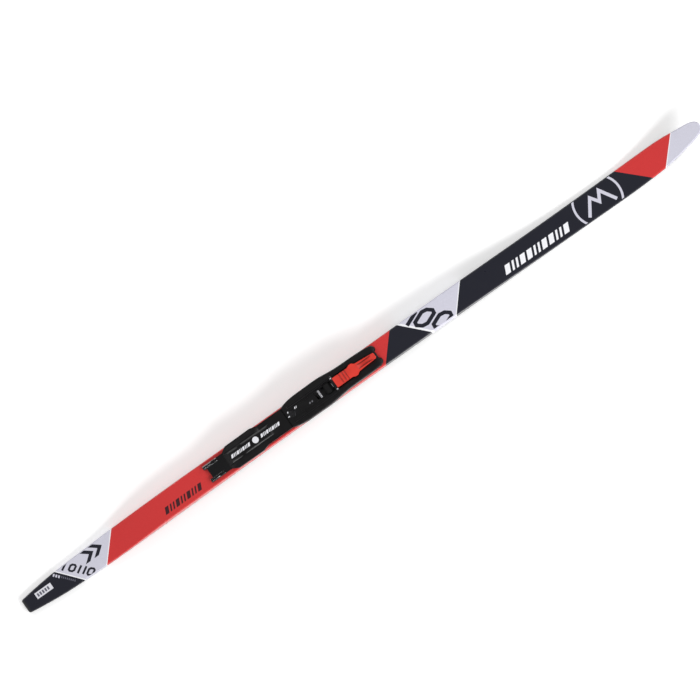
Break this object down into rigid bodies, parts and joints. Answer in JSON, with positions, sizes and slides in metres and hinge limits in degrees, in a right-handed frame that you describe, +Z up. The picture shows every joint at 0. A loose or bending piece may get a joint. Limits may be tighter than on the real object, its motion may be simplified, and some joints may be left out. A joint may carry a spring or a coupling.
{
  "type": "cross country ski",
  "caption": "Classic cross-country ski with a slide-on step-in binding: lift-up release lever, sprung toe jaw, rubber flexor and heel plate.",
  "frame": {"origin": "on the ground, midway between tail and tip, on the ski's centreline", "axes": "+X along the ski towards the tip, +Y to the ski's left, +Z up from the running surface"},
  "size_m": [1.5, 0.054, 0.0558],
  "materials": {
    "base_black": "sintered polyethylene, structured",
    "laminate": "glass fibre laminate",
    "core_wood": "light strip wood",
    "spacer": "solid filler",
    "topsheet": "printed satin cap in red, black and light grey",
    "protector": "moulded satin black",
    "sticker": "printed film",
    "plate_black": "moulded",
    "screw_steel": "zinc plated",
    "binding_black": "fine moulded grain",
    "cover_grey": "satin",
    "steel": "ground",
    "spring_steel": "spring wire",
    "flexor_rubber": "matt",
    "lever_red": "satin moulded red",
    "carriage_black": "moulded",
    "hook_steel": "stamped, bright",
    "lock_black": "satin"
  },
  "bodies": {
    "ski": {"rear_glide_base": "base_black", "rear_grip_base": "base_black", "front_grip_base": "base_black", "front_glide_base": "base_black", "tip_base": "base_black", "lower_laminate": "laminate", "tail_spacer": "spacer", "rear_core": "core_wood", "binding_block": "core_wood", "front_core": "core_wood", "tip_spacer": "spacer", "upper_laminate": "laminate", "topsheet": "topsheet", "tail_protector": "protector", "size_sticker": "sticker", "mounting_plate": "plate_black", "plate_screws": "screw_steel"},
    "binding": {"heel_plate": "binding_black", "toe_housing": "binding_black", "spring_cover": "cover_grey", "guide_rods": "steel", "jaw_springs": "spring_steel", "flexor": "flexor_rubber", "lever_axle": "steel"},
    "lever": {"release_lever": "lever_red", "drive_pin": "steel"},
    "jaw": {"jaw_slider": "carriage_black", "jaw_hook": "hook_steel"},
    "position_lock": {"rotary_lock": "lock_black", "lock_clip": "spring_steel"}
  },
  "joints": [
    {"name": "binding_slide", "type": "slide", "parent": "ski", "child": "binding", "axis": [1, 0, 0], "range_m": [-0.012, 0.012]},
    {"name": "lever_lift", "type": "hinge", "parent": "binding", "child": "lever", "pos_m": [-0.06, 0, 0.0525], "axis": [0, -1, 0], "range_deg": [0, 70]},
    {"name": "jaw_open", "type": "slide", "parent": "binding", "child": "jaw", "axis": [1, 0, 0], "range_m": [0, 0.0058], "deforming": ["jaw_springs"]},
    {"name": "lock_turn", "type": "hinge", "parent": "binding", "child": "position_lock", "pos_m": [-0.1514, 0, 0.045], "axis": [0, 0, 1], "range_deg": [0, 90]}
  ],
  "couplings": [
    {"joint": "jaw_open", "follows": "lever_lift", "m_per_rad": 0.0046948}
  ]
}
